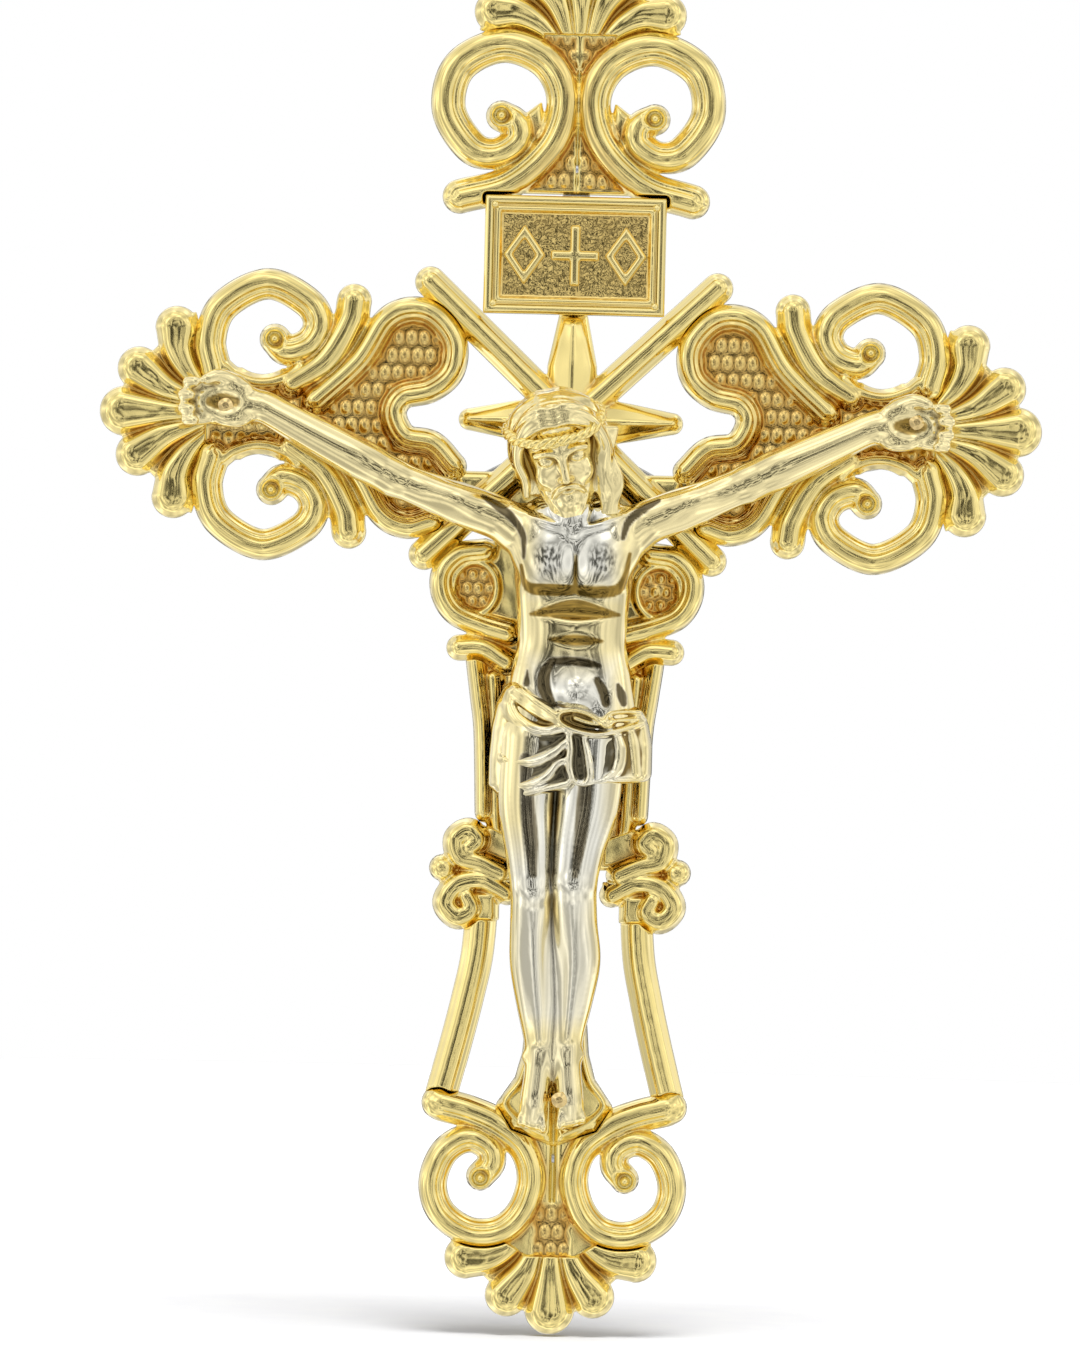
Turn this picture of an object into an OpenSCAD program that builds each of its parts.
// Processional cross: openwork castings on a hidden strap frame, with a
// figure, a title plate and a staff socket with a clamp screw at the back.
// Units are millimetres, +Z is up and the cross faces -Y. The origin is at the
// middle of the socket's mouth. Outlines are drawn as [x, z] about the crossing.

/* [Castings] */
// Height of the crossing above the mouth of the socket
crossing_z = 138; // [136:1:142]
// Thickness of a casting's flat plate
plate_t = 4; // [3.5:0.5:5]
// Height of the raised mouldings above the plate
ridge_h = 4; // [3:0.5:4.5]
// Gap left between two castings that butt together
butt_gap = 0.15; // [0.1:0.05:0.3]

/* [Staff socket] */
// Diameter of the staff
staff_d = 25.4; // [24:0.1:25.6]
// Clearance between staff and socket, on the radius
staff_gap = 0.2; // [0.1:0.05:0.3]
// Wall thickness of the socket
socket_wall = 3.1; // [2.8:0.1:3.2]
// Depth of the socket
socket_depth = 62; // [56:1:64]
// Thickness of the disc that closes the top of the socket
cap_t = 4; // [3:0.5:5]

/* [Clamp screw] */
// Radius of the clamp screw's thread
screw_r = 4; // [3.5:0.1:4.2]
// Travel left between knob and boss at rest
knob_gap = 5.6; // [5.4:0.1:7]
// Radius of the knob to the top of its lobes
knob_r = 11; // [9:0.5:13]
// Number of lobes round the knob
knob_lobes = 8; // [6:1:10]
// Clearance of a turning or sliding fit, on the radius
run_gap = 0.05; // [0.03:0.01:0.08]

/* [Frame] */
// Width of the straps
strap_w = 9; // [7:0.5:9.5]
// Thickness of the straps and of the plate that joins them
strap_t = 3; // [2.5:0.25:3.5]
// Radius of the frame screws
fix_r = 1.5; // [1.2:0.1:1.6]
// Radius of the nails through hands and feet
nail_r = 1.6; // [1.3:0.1:1.8]

/* [Title plate] */
// Width of the title plate
title_w = 59; // [56:1:60]
// Height of the title plate
title_h = 38.5; // [37:0.5:39]
// Width of the raised rim round the title plate
title_rim = 5; // [4:0.5:6]

/* [Hidden] */
// Longer than the whole cross
big = 600;

gold = [0.86, 0.70, 0.36];
pale_gold = [0.93, 0.82, 0.52];
silver = [0.82, 0.83, 0.84];
brass = [0.70, 0.56, 0.30];
steel = [0.55, 0.56, 0.58];

// Depths, counted forwards (towards -Y) from the staff's axis
bore_r = staff_d / 2 + staff_gap;
socket_r = bore_r + socket_wall;
strap_back = socket_r + 1;
back = strap_back + strap_t;
plate_front = back + plate_t;
crest = plate_front + ridge_h;
// The mouldings rise in two courses, each set in from the one below
course_h = ridge_h * 0.6;
course_in = 1.4;

// Half the width of the sliver that a band is grown from, and the spans drawn between two curve points
hair = 0.01;
steps = 3;
fit_gap = 0.05;
// How far a frame screw goes into a casting, and how much deeper its hole is
screw_bite = 3;
tip_gap = 0.3;
// A length by which cutting shapes pass the face they cut
past = 1;

// ---- Curves ----
function pt(p, i) = p[max(0, min(len(p) - 1, i))];
function between(a, b, c, d, t) =
    0.5 * (2 * b + (c - a) * t + (2 * a - 5 * b + 4 * c - d) * t * t
    + (3 * b - a - 3 * c + d) * t * t * t);
function spline(p) = [
    for (i = [0 : len(p) - 2]) for (k = [0 : steps - 1])
        between(pt(p, i - 1), pt(p, i), pt(p, i + 1), pt(p, i + 2), k / steps),
    p[len(p) - 1]
];
function side(p, i) = let (d = pt(p, i + 1) - pt(p, i - 1)) [-d[1], d[0]] / norm(d);

// A band of one width along a curve, with round ends
module band(points, half) {
    p = spline(points);
    n = len(p) - 1;
    offset(r = half, $fn = 16)
        polygon(concat([for (i = [0 : n]) p[i] + hair * side(p, i)],
            [for (i = [n : -1 : 0]) p[i] - hair * side(p, i)]));
}
module dot(x, z, r) {
    translate([x, z]) circle(r, $fn = 24);
}
module both_sides() {
    children();
    mirror([1, 0]) children();
}

// ---- Curves of the castings, right-hand side ----
top_scroll = [[38, 72.5], [22, 77.5], [9, 90], [5, 105], [11, 117], [25, 122], [39, 115], [42.3, 101],
    [35, 89], [27, 86.8], [20.2, 91], [20.5, 96.5], [25, 99]];
top_web = [[24, 74], [14, 84], [8, 92], [5, 104], [10, 117], [12, 126]];
arm_scroll = [[116, 15], [118, 24], [114, 35], [100, 42.5], [87, 37], [83, 30], [86, 23.5], [93, 21],
    [97, 24.5]];
arm_leaf = [[91, 10], [80, 18], [73, 30], [71.5, 37]];
arm_loop = [[83, 4.5], [69, 18], [61, 31], [53, 35], [45, 33], [38.8, 25], [39.5, 15.5], [46, 9.5],
    [55, 7], [58, 1], [54, -6.5], [45, -8.5], [38, -15.5]];
arm_under = [[83, -4.5], [69, -18], [61, -31], [53, -35], [45, -33]];
medallion = [[27, -43], [35, -44.5], [40, -50], [40, -57], [36, -63], [28, -66.5], [19, -69]];
short_bar = [[34.5, -74.5], [27, -74.5], [19, -79]];
shaft_edge = [[29, -79], [27.5, -90], [26, -102], [25, -128]];
upper_volute = [[29.5, -139.5], [27, -137], [30, -134.2], [34, -137], [32.5, -142.5], [26, -144.5],
    [19, -147.5]];
lower_volute = [[30, -155.5], [28.5, -159.5], [33, -162], [37, -157.5], [33, -151.5], [25, -150],
    [17, -154]];
side_bar = [[25, -161], [26.3, -174], [29, -188], [32.5, -203], [36.5, -219]];
foot_scroll = [[36.5, -223.5], [27, -226], [18, -230], [10, -237], [7, -247], [10, -257.5], [17, -264],
    [27, -264.5], [36, -258.5], [39, -249], [35.5, -239], [28, -234.3], [21.3, -236.8], [20, -242],
    [23.5, -246.5]];
opening_r = 11.5;
arm_opening = [101, 24.5];

// ---- Outlines ----
module top_lines() both_sides() {
    band(top_scroll, 5.5);
    dot(25, 99, 4.6);
}
module top_fill() both_sides() {
    polygon(concat([[0, 74]], top_web, [[0, 126]]));
    polygon([[10, 92], [20, 89], [21, 97], [12, 104]]);
}

// Five lobes that fan out along +x from the origin
module palmette_lines() {
    polygon([[8, -3.5], [8, 3.5], [27.5, 8], [27.5, -8]]);
    dot(27.5, 0, 8);
    for (s = [1, -1]) scale([1, s]) {
        band([[7, 5], [15, 8.5], [23, 14]], 5);
        dot(23, 14, 7);
        band([[3, 9], [8, 15], [11.5, 21], [11.5, 27.5]], 4.8);
        dot(11, 27.5, 7);
    }
}
module palmette_fill() {
    polygon([[-1, -9], [-1, 9], [5, 33], [18, 20.5], [28, 8.3], [28, -8.3], [18, -20.5], [5, -33]]);
}

module arm_lines() {
    for (s = [1, -1]) scale([1, s]) {
        band(arm_scroll, 5);
        dot(97, 24.5, 4.5);
        band(arm_leaf, 5.6);
    }
    band(arm_loop, 4.4);
    band(arm_under, 4.4);
}
module arm_fill() difference() {
    union() {
        translate([82, -15]) square([37, 30]);
        polygon(concat(arm_loop, [[38, -25]], [[45, -33], [61, -31], [83, -4.5]]));
    }
    for (s = [1, -1]) dot(arm_opening[0], s * arm_opening[1], opening_r);
}

ray_turn = 43.5;
module star_lines() {
    for (s = [1, -1]) scale([s, 1]) {
        for (t = [1, -1]) rotate(t * ray_turn) translate([10, -5]) square([54.5, 10]);
        for (t = [1, -1]) rotate(t * ray_turn) dot(64.5, 0, 5);
        polygon([[8, 8], [20, 6], [33, 3.5], [33, -3.5], [20, -6], [8, -8]]);
        dot(33, 0, 3.5);
    }
    polygon([[-8, 0], [-8, 18], [-4.5, 35], [4.5, 35], [8, 18], [8, 0]]);
    polygon([[-8, 0], [-7, -30], [7, -30], [8, 0]]);
}
module star_fill() {
    dot(0, 0, 14);
    polygon([[-37, -17], [37, -17], [37, -28], [14, -40], [-14, -40], [-37, -28]]);
}

module shoulder_lines() both_sides() {
    band(medallion, 4.2);
    band(short_bar, 4.2);
}
module shoulder_fill() both_sides() {
    polygon([[0, -36], [28, -40], [38, -50], [38, -60], [28, -68], [30, -75], [20, -80], [0, -80]]);
}

module shaft_lines() both_sides() band(shaft_edge, 3.2);
module shaft_fill() both_sides()
    polygon([[0, -78], [30, -78], [28, -90], [26.5, -102], [25, -128], [22, -146], [0, -146]]);

module volute_lines() {
    band(upper_volute, 4);
    band(lower_volute, 4);
    dot(38.3, -146.3, 4.3);
}
module volute_fill() {
    dot(31, -138.5, 6);
    dot(32, -157, 7);
    polygon([[14, -136], [26, -132], [38, -142], [40, -150], [34, -156], [14, -156]]);
    translate([19.6, -163]) square([10.5, 10]);
}
// The small hole between volutes and legs
module volute_hole() {
    dot(15.5, -147, 3);
}

module foot_lines() both_sides() {
    band(foot_scroll, 4.6);
    dot(23.5, -246.8, 4.4);
    dot(37.8, -222.8, 5.4);
}
module foot_fill() both_sides()
    polygon([[0, -236], [10, -237], [8, -250], [10, -258], [16, -267], [8, -272], [0, -272]]);

module rest_fill() both_sides()
    polygon([[0, -196], [10, -196], [10.8, -206], [13, -214], [19, -222.8], [14, -231], [0, -236]]);

// ---- Building a casting ----
// A prism of a flat outline between two depths
module layer(from, to) {
    translate([0, -from, crossing_z]) rotate([90, 0, 0]) linear_extrude(to - from) children();
}
// Child 0 is the raised lines, child 1 the flat fill, child 2 the neighbours it butts against
module casting() {
    layer(back, plate_front) one_outline() difference() {
        union() {
            children(0);
            children(1);
        }
        if ($children > 2) offset(delta = butt_gap) children(2);
    }
    course_top = [plate_front, plate_front + course_h, crest];
    for (course = [0, 1]) layer(course_top[course], course_top[course + 1])
        one_outline() difference() {
            offset(delta = -course_in * (course + 1)) children(0);
            if ($children > 2) offset(delta = butt_gap) children(2);
            title_clearance();
        }
}
// Joins overlapping shapes into one clean outline
module one_outline() {
    offset(delta = 0) children();
}
// The title plate lies on the castings' plates, so the mouldings stop at it
module title_clearance() {
    translate([-title_w / 2 - butt_gap, title_z - title_h / 2 - butt_gap])
        square([title_w + 2 * butt_gap, title_h + 2 * butt_gap]);
}
title_z = 53.75;

// ---- Fixings ----
nail_xz = [112, 2];
nail_boss_r = 5;
foot_nail_xz = [1.5, -220];
spine_fix = [141, 105, 82, 53.75, 20, -1, -50, -90, -112, -240, -256, -279];
arm_fix = [62, 96, 131];
torso_fix_z = -64;
torso_fix_r = 2;
torso_bite = 8;
arm_strap_from = [strap_w / 2 + butt_gap, -28];
arm_strap_to = [139, -1];
arm_strap_slope = (arm_strap_to[1] - arm_strap_from[1]) / (arm_strap_to[0] - arm_strap_from[0]);
function on_arm(x) = [x, arm_strap_from[1] + (x - arm_strap_from[0]) * arm_strap_slope];
plate_fix = concat([[0, -17], [0, -27]], [for (s = [1, -1]) for (x = [14, 24]) [s * x, on_arm(x)[1]]]);
bar_top = [[24.6, -164], 0];
bar_foot = [[36, -217], 13];

// A round hole or pin along the cross's depth
module bar(xz, from, to, r) {
    translate([xz[0], -from, crossing_z + xz[1]]) rotate([90, 0, 0])
        cylinder(h = to - from, r = r, $fn = 32);
}
// Blind holes for the frame screws in the backs of the castings
module fix_holes() {
    hole_end = back + screw_bite + tip_gap;
    for (z = spine_fix) bar([0, z], back - past, hole_end, fix_r + fit_gap);
    for (s = [1, -1]) for (x = arm_fix)
        bar([s * x, on_arm(x)[1]], back - past, hole_end, fix_r + fit_gap);
}
// Nail holes run on through the hands and the feet
nail_reach = crest + 20;
module nail_holes() {
    for (s = [1, -1]) bar([s * nail_xz[0], nail_xz[1]], back - past, nail_reach, nail_r + fit_gap);
}
module foot_nail_hole() {
    bar(foot_nail_xz, strap_back - past, nail_reach, nail_r + fit_gap);
}
module drilled() difference() {
    children();
    fix_holes();
}

// ---- Castings ----
module top_finial() color(gold) drilled() casting() {
    top_lines();
    top_fill();
}
module top_palmette() color(gold) drilled() casting() {
    translate([0, 122]) rotate(90) palmette_lines();
    translate([0, 122]) rotate(90) palmette_fill();
    union() {
        top_lines();
        top_fill();
    }
}
module arm() color(gold) difference() {
    drilled() union() {
        casting() {
            arm_lines();
            arm_fill();
        }
        bar(nail_xz, plate_front - past, crest, nail_boss_r);
    }
    nail_holes();
}
module arm_palmette() color(gold) drilled() casting() {
    translate([118, 0]) palmette_lines();
    translate([118, 0]) palmette_fill();
    union() {
        arm_lines();
        arm_fill();
    }
}
module glory_star() color(gold) drilled() casting() {
    star_lines();
    star_fill();
    both_sides() {
        arm_lines();
        arm_fill();
    }
}
module shoulder_panel() color(gold) difference() {
    drilled() union() {
        casting() {
            shoulder_lines();
            shoulder_fill();
            union() {
                star_lines();
                star_fill();
                both_sides() {
                    arm_lines();
                    arm_fill();
                }
            }
        }
        layer(plate_front - past, crest) translate([-9, -76]) square([20, 30]);
    }
    bar([0, torso_fix_z], back - past, crest + past, torso_fix_r + fit_gap);
}
module shaft_panel() color(gold) difference() {
    drilled() casting() {
        shaft_lines();
        shaft_fill();
        union() {
            shoulder_lines();
            shoulder_fill();
            both_sides() {
                volute_lines();
                volute_fill();
            }
            both_sides() volute_hole();
        }
    }
    for (q = bracket_fix) bar(q, back - past, back + screw_bite + tip_gap, torso_fix_r + fit_gap);
}
module volutes() color(gold) difference() {
    casting() {
        volute_lines();
        volute_fill();
        volute_hole();
    }
    dowel(bar_top, fit_gap);
}
module side_bar_casting() color(gold) difference() {
    casting() {
        band(side_bar, 5.2);
        dot(side_bar[0][0], side_bar[0][1], 5.2);
        union() {
            volute_lines();
            volute_fill();
            foot_lines();
        }
    }
    dowel(bar_top, fit_gap);
    dowel(bar_foot, fit_gap);
}
module foot_finial() color(gold) difference() {
    drilled() casting() {
        foot_lines();
        foot_fill();
        rest_fill();
    }
    for (s = [0, 1]) mirror([s, 0, 0]) dowel(bar_foot, fit_gap);
}
module foot_palmette() color(gold) drilled() casting() {
    translate([0, -262]) rotate(-90) palmette_lines();
    translate([0, -262]) rotate(-90) palmette_fill();
    union() {
        foot_lines();
        foot_fill();
    }
}
module foot_rest() color(gold) difference() {
    union() {
        layer(back, plate_front) rest_fill();
        layer(plate_front, crest) offset(r = 1, $fn = 16) offset(delta = -3) rest_fill();
    }
    foot_nail_hole();
}

// ---- Title plate ----
title_rim_h = 1;
title_floor = crest - 1.4;
title_tenon = [12, 28];
rivet_in = 3.2;
module title_rect(inset) {
    translate([0, title_z]) square([title_w - 2 * inset, title_h - 2 * inset], center = true);
}
// A rimmed plate on a tenon that reaches back to the frame
module title_plate() color(pale_gold) difference() {
    union() {
        layer(plate_front, crest) title_rect(0);
        layer(crest - past, crest + title_rim_h) title_rect(1.5);
        layer(back, plate_front + past) translate([0, title_z]) square(title_tenon, center = true);
    }
    layer(title_floor, crest + 2) title_rect(title_rim);
    fix_holes();
    rivets(fit_gap);
}
// A plain cross between two open lozenges
module title_ornament() color(pale_gold) layer(title_floor, crest + 0.6) translate([0, title_z]) {
    square([16, 3.4], center = true);
    square([3.4, 20], center = true);
    for (s = [1, -1]) translate([s * 16.5, 0]) difference() {
        polygon([[-7, 0], [0, 10], [7, 0], [0, -10]]);
        polygon([[-3.6, 0], [0, 5.2], [3.6, 0], [0, -5.2]]);
    }
}
module rivets(extra) {
    for (sx = [1, -1]) for (sz = [1, -1])
        bar([sx * (title_w / 2 - rivet_in), title_z + sz * (title_h / 2 - rivet_in)],
            plate_front + 1, crest + title_rim_h + 0.3, 1 + extra);
}
module title_rivets() color(brass) rivets(0);

// ---- Side bar dowels ----
dowel_len = 9;
dowel_r = 1;
// place is [[x, z], lean], and extra widens the hole over the pin
module dowel(place, extra) {
    translate([place[0][0], -(back + plate_t / 2), crossing_z + place[0][1]]) rotate([0, -place[1], 0])
        cylinder(h = dowel_len + 2 * extra, r = dowel_r + extra, center = true, $fn = 24);
}
module side_bar_dowels() color(brass) for (s = [0, 1]) mirror([s, 0, 0]) {
    dowel(bar_top, 0);
    dowel(bar_foot, 0);
}

// ---- Figure ----
// A ball at [x, depth, z] about the crossing
module ball(p, r) {
    translate([p[0], -p[1], crossing_z + p[2]]) sphere(r, $fn = 14);
}
module limb(a, ra, b, rb) hull() {
    ball(a, ra);
    ball(b, rb);
}
// Keeps what stands in front of the castings' mouldings
module in_front() intersection() {
    children();
    translate([-big / 2, -big / 2, -big / 2]) cube([big, big / 2 - crest, big]);
}
// Where the figure's parts meet: beside the shoulders, at the neck, the waist and the hem
shoulder_x = 18.5;
neck_z = -33.5;
waist_z = -86;
hem_z = -119;

module torso_solid() {
    hull() for (s = [1, -1]) {
        ball([2 + s * 11, 37, -42], 8.5);
        ball([2 + s * 9, 37, -58], 8);
    }
    hull() for (s = [1, -1]) {
        ball([2 + s * 9, 37, -58], 8);
        ball([2 + s * 9, 36, -76], 7.5);
    }
    hull() for (s = [1, -1]) {
        ball([2 + s * 9, 36, -76], 7.5);
        ball([2 + s * 12, 37, -92], 8);
    }
    for (s = [1, -1]) {
        limb([2 + s * 8, 42, -43], 6, [2 + s * 9, 42, -47], 5.5);
        limb([2 + s * 18, 35, -34], 6.5, [2 + s * 8, 35, -38], 7);
    }
    limb([1, 37, -40], 7, [0, 40, -30], 5.5);
}
module corpus_torso() color(silver) difference() {
    intersection() {
        in_front() torso_solid();
        translate([2 - shoulder_x, -big / 2, crossing_z + waist_z])
            cube([2 * shoulder_x, big / 2, neck_z - waist_z]);
    }
    bar([0, torso_fix_z], crest - past, crest + torso_bite, torso_fix_r + fit_gap);
}
module corpus_head() color(gold) intersection() {
    union() {
        limb([0, 40, -36], 5.5, [-1, 45, -24], 5.5);
        hull() {
            ball([-3.5, 47, -1], 11.5);
            ball([-1.5, 49, -14], 9);
            ball([-0.5, 52, -26], 4.5);
        }
        limb([-3, 44, 0], 13, [-2, 40, -8], 12);
        limb([8, 42, -6], 7, [13, 38, -25], 5);
        limb([-12, 42, -6], 6, [-11, 40, -24], 4.5);
    }
    translate([-60, -big / 2, crossing_z + neck_z]) cube([120, big / 2 - crest, 60]);
}
module crown_of_thorns() color(gold)
    translate([-4, -45.5, crossing_z + 5]) rotate([18, -12, 0])
        rotate_extrude($fn = 48) translate([15.9, 0]) circle(1.6, $fn = 16);

module figure_arm(points, palm) difference() {
    intersection() {
        in_front() {
            limb(points[0], 6, points[1], 5.5);
            limb(points[1], 5.5, points[2], 5.8);
            limb(points[2], 5.8, points[3], 3.8);
            hull() {
                ball(points[3], 3.8);
                ball(palm + [-6, 0, 0], 5.4);
                ball(palm + [5, 0, 0], 5);
            }
        }
        translate([points[0][0] > 0 ? 2 + shoulder_x : 2 - shoulder_x - 150, -big / 2, 0])
            cube([150, big / 2, big / 2]);
    }
    nail_holes();
}
module corpus_left_arm() color(silver)
    figure_arm([[-14, 35, -34.5], [-40, 34, -25.5], [-66, 33, -17], [-98, 31.5, 1.5]], [-113.5, 31, 3.5]);
module corpus_right_arm() color(silver)
    figure_arm([[18, 35, -34.5], [50, 34, -22], [68, 33, -14], [97, 31.5, 0]], [110, 31, 0.5]);

module corpus_loincloth() color(pale_gold) intersection() {
    in_front() {
        hull() {
            for (s = [1, -1]) ball([1 + s * 13, 37, -92], 8.5);
            ball([-13.5, 38, -114], 9.5);
            ball([17, 38, -112], 10);
        }
        limb([-13, 42, -93], 6, [2, 44, -98], 5.5);
        limb([2, 44, -98], 5.5, [14, 42, -92], 5);
        limb([15, 43, -96], 6, [19, 42, -112], 6);
    }
    translate([-60, -big / 2, crossing_z + hem_z]) cube([120, big / 2, waist_z - hem_z]);
}
module leg(hip, knee, ankle) {
    limb(hip, 9, knee, 7);
    limb(knee, 7, [knee[0] * 0.7 + ankle[0] * 0.3, knee[1] - 3, knee[2] - 20], 7.5);
    limb([knee[0] * 0.7 + ankle[0] * 0.3, knee[1] - 3, knee[2] - 20], 7.5, ankle, 4.6);
}
module corpus_legs() color(silver) difference() {
    intersection() {
        in_front() {
            leg([-11, 38, -116], [-8.5, 43, -154], [-4.8, 36, -205]);
            leg([10.5, 38, -116], [4.5, 44, -149], [3, 38, -205]);
            hull() {
                ball([-4.8, 36, -205], 4.6);
                ball([-6.5, 33, -222], 5);
                ball([-3, 33, -228], 4);
            }
            hull() {
                ball([3, 38, -205], 4.6);
                ball([3.5, 35, -220], 5);
                ball([3, 34, -228], 4);
            }
        }
        translate([-60, -big / 2, -big / 2]) cube([120, big / 2, big / 2 + crossing_z + hem_z]);
    }
    foot_nail_hole();
}

// ---- Nails ----
module nail(xz, from, to) {
    bar(xz, from, to, nail_r);
    translate([xz[0], -to, crossing_z + xz[1]]) rotate([90, 0, 0])
        cylinder(h = 1.2, r1 = nail_r * 1.7, r2 = nail_r, $fn = 32);
}
// Depth of the palms and of the instep under the nail heads, and the nuts' size
palm_front = 36.4;
instep_front = 40.6;
nut_t = 2.4;
nut_r = 3.6;
module hand_nails() color(brass) for (s = [1, -1])
    nail([s * nail_xz[0], nail_xz[1]], back - nut_t - 1, palm_front);
module foot_nail() color(brass) nail(foot_nail_xz, strap_back - nut_t - 1, instep_front);
module nut(xz, front) difference() {
    translate([xz[0], -(front - nut_t), crossing_z + xz[1]]) rotate([90, 0, 0])
        cylinder(h = nut_t, r = nut_r, $fn = 6);
    bar(xz, front - nut_t - past, front + past, nail_r + fit_gap);
}
module nail_nuts() color(steel) {
    for (s = [1, -1]) nut([s * nail_xz[0], nail_xz[1]], back);
    nut(foot_nail_xz, strap_back);
}

// ---- Frame ----
spine_top = 150;
spine_foot = -288;
frame_rear = strap_back - strap_t;
module frame_holes() {
    for (z = spine_fix) bar([0, z], frame_rear - past, back + past, fix_r + fit_gap);
    for (s = [1, -1]) for (x = arm_fix)
        bar([s * x, on_arm(x)[1]], frame_rear - past, back + past, fix_r + fit_gap);
    for (q = plate_fix) bar(q, frame_rear - past, back + past, fix_r + fit_gap);
    bar([0, torso_fix_z], frame_rear - past, back + past, torso_fix_r + fit_gap);
    foot_nail_hole();
}
module spine_strap() color(steel) difference() {
    layer(strap_back, back) offset(r = 2, $fn = 24) offset(delta = -2)
        translate([-strap_w / 2, spine_foot]) square([strap_w, spine_top - spine_foot]);
    frame_holes();
}
module arm_strap() color(steel) difference() {
    layer(strap_back, back) difference() {
        polygon([arm_strap_from + [0, -strap_w / 2], arm_strap_to + [0, -strap_w / 2],
            arm_strap_to + [3, 0], arm_strap_to + [0, strap_w / 2], arm_strap_from + [0, strap_w / 2]]);
        dot(nail_xz[0], nail_xz[1], nut_r + 1);
    }
    frame_holes();
}
module crossing_plate() color(steel) difference() {
    layer(frame_rear, strap_back) offset(r = 3, $fn = 24)
        polygon([[-29, -26], [-29, -20], [-8, -10], [8, -10], [29, -20], [29, -26], [8, -34], [-8, -34]]);
    frame_holes();
}
// A pan-head screw whose head bears on the face at depth seat
head_h = 1.4;
head_w = 1.8;
module screw(xz, seat, tip, r) {
    bar(xz, seat, tip, r);
    bar(xz, seat - head_h * r, seat, head_w * r);
}
module frame_screws() color(steel) {
    for (z = spine_fix) screw([0, z], strap_back, back + screw_bite, fix_r);
    for (s = [1, -1]) for (x = arm_fix)
        screw([s * x, on_arm(x)[1]], strap_back, back + screw_bite, fix_r);
    for (q = plate_fix) screw(q, frame_rear, back - 0.2, fix_r);
    screw([0, torso_fix_z], strap_back, crest + torso_bite - 0.5, torso_fix_r);
}

// ---- Staff socket ----
bracket_half = 24;
bracket_low = 10;
bracket_high = 60;
bracket_rear = 13;
bracket_fix = [for (sx = [1, -1]) for (z = [bracket_low + 6, bracket_high - 11])
    [sx * 19.5, z - crossing_z]];
// Room for the heads of the frame screws
pocket_r = head_w * fix_r + 0.3;
clamp_z = 33;
boss_r = 8;
boss_root = 12;
boss_end = socket_r + 7;
pad_tip = bore_r + 0.4;
pad_len = 4;
journal_r = 2;
journal_len = 2.9;
cap_seat = 1;

module socket_bracket() color(brass) difference() {
    translate([0, 0, bracket_low]) linear_extrude(bracket_high - bracket_low) difference() {
        translate([-bracket_half, -back]) square([2 * bracket_half, back - bracket_rear]);
        circle(socket_r, $fn = 96);
        translate([-strap_w / 2 - 0.5, -back - 1]) square([strap_w + 1, strap_t + 1]);
    }
    for (q = bracket_fix) bar(q, bracket_rear - past, back + past, torso_fix_r + fit_gap);
    for (z = spine_fix) bar([0, z], bracket_rear - past, back + past, pocket_r);
}
module bracket_screws() color(steel) for (q = bracket_fix)
    screw(q, bracket_rear, back + screw_bite, torso_fix_r);
// The frame screws' heads stand in pockets of the bracket and of the tube's front
module socket_tube() color(brass) difference() {
    union() {
        cylinder(h = socket_depth + cap_t, r = socket_r, $fn = 96);
        cylinder(h = 4, r = socket_r + 0.8, $fn = 96);
    }
    translate([0, 0, -1]) cylinder(h = socket_depth + 2, r = bore_r, $fn = 96);
    translate([0, 0, socket_depth]) cylinder(h = cap_t + 1, r = bore_r + cap_seat, $fn = 96);
    translate([0, 0, clamp_z]) rotate([-90, 0, 0]) cylinder(h = boss_end, r = screw_r + run_gap, $fn = 48);
    for (z = spine_fix) if (crossing_z + z > 0 && crossing_z + z < socket_depth)
        bar([0, z], strap_back - head_h * fix_r - 0.2, back, pocket_r);
}
module socket_cap() color(brass) translate([0, 0, socket_depth])
    cylinder(h = cap_t, r = bore_r + cap_seat - fit_gap, $fn = 96);
module clamp_boss() color(brass) difference() {
    translate([0, boss_root, clamp_z]) rotate([-90, 0, 0])
        cylinder(h = boss_end - boss_root, r = boss_r, $fn = 64);
    cylinder(h = 2 * clamp_z, r = socket_r, $fn = 96);
    translate([0, 0, clamp_z]) rotate([-90, 0, 0])
        cylinder(h = boss_end + past, r = screw_r + run_gap, $fn = 48);
}
// A brass pad that the screw pushes against the staff
module clamp_pad() color(brass) translate([0, pad_tip, clamp_z]) rotate([-90, 0, 0]) difference() {
    cylinder(h = pad_len, r = screw_r - 2 * run_gap, $fn = 48);
    translate([0, 0, pad_len - journal_len - 0.2])
        cylinder(h = pad_len, r = journal_r + run_gap, $fn = 48);
}
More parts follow.
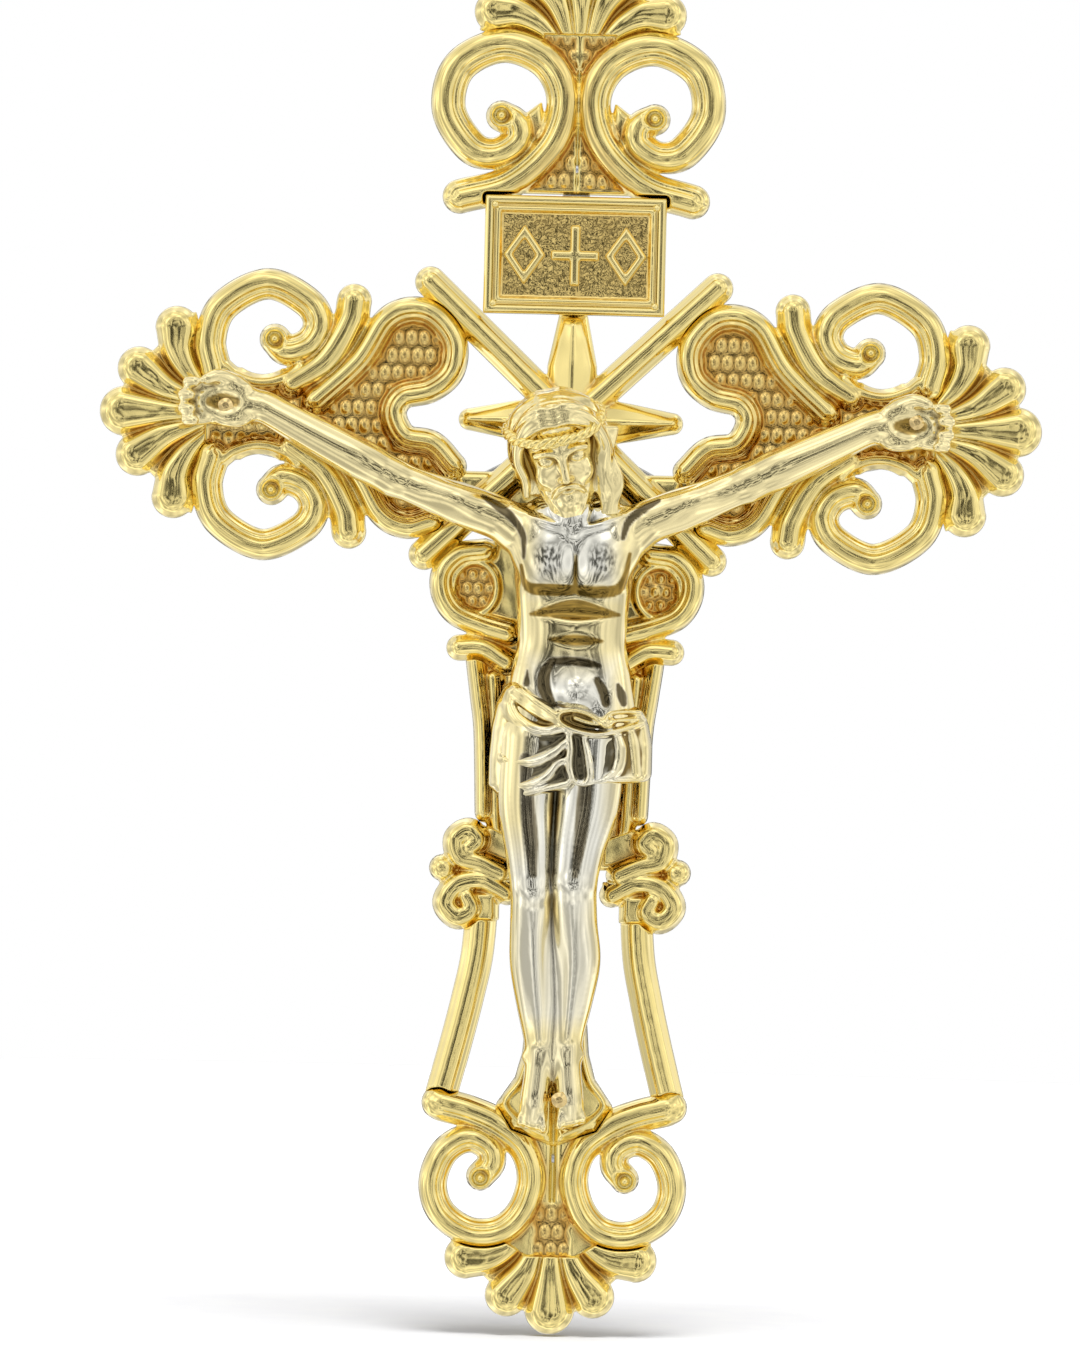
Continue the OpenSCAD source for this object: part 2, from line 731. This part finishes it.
// The screw turns on a journal in the pad, and its other end is fast in the knob
screw_in_knob = 6;
module clamp_screw() color(steel) translate([0, pad_tip, clamp_z]) rotate([-90, 0, 0]) {
    translate([0, 0, pad_len - journal_len])
        cylinder(h = journal_len + 1, r = journal_r, $fn = 48);
    translate([0, 0, pad_len + tip_gap])
        cylinder(h = boss_end + knob_gap + screw_in_knob - pad_tip - pad_len, r = screw_r, $fn = 48);
}
knob_t = 10;
lobe_r = 2.2;
collar_h = 1.5;
module clamp_knob() color(brass) translate([0, boss_end + knob_gap, clamp_z]) rotate([-90, 0, 0])
    difference() {
        union() {
            cylinder(h = 2 * collar_h, r = 7, $fn = 64);
            translate([0, 0, collar_h]) cylinder(h = knob_t - collar_h, r = knob_r - 2, $fn = 64);
            for (i = [0 : knob_lobes - 1]) rotate(i * 360 / knob_lobes)
                translate([knob_r - lobe_r, 0, collar_h])
                    cylinder(h = knob_t - collar_h - 1, r = lobe_r, $fn = 24);
        }
        translate([0, 0, -past]) cylinder(h = screw_in_knob + tip_gap + past, r = screw_r, $fn = 48);
    }

top_finial();
top_palmette();
mirror([1, 0, 0]) arm();  // left_arm
arm();  // right_arm
mirror([1, 0, 0]) arm_palmette();  // left_palmette
arm_palmette();  // right_palmette
glory_star();
title_plate();
title_ornament();
title_rivets();
shoulder_panel();
shaft_panel();
mirror([1, 0, 0]) volutes();  // left_volutes
volutes();  // right_volutes
mirror([1, 0, 0]) side_bar_casting();  // left_side_bar
side_bar_casting();  // right_side_bar
side_bar_dowels();
foot_finial();
foot_palmette();
foot_rest();
corpus_torso();
corpus_head();
crown_of_thorns();
corpus_left_arm();
corpus_right_arm();
corpus_loincloth();
corpus_legs();
hand_nails();
foot_nail();
nail_nuts();
spine_strap();
mirror([1, 0, 0]) arm_strap();  // left_arm_strap
arm_strap();  // right_arm_strap
crossing_plate();
frame_screws();
socket_bracket();
bracket_screws();
socket_tube();
socket_cap();
clamp_boss();
clamp_pad();
clamp_screw();
clamp_knob();
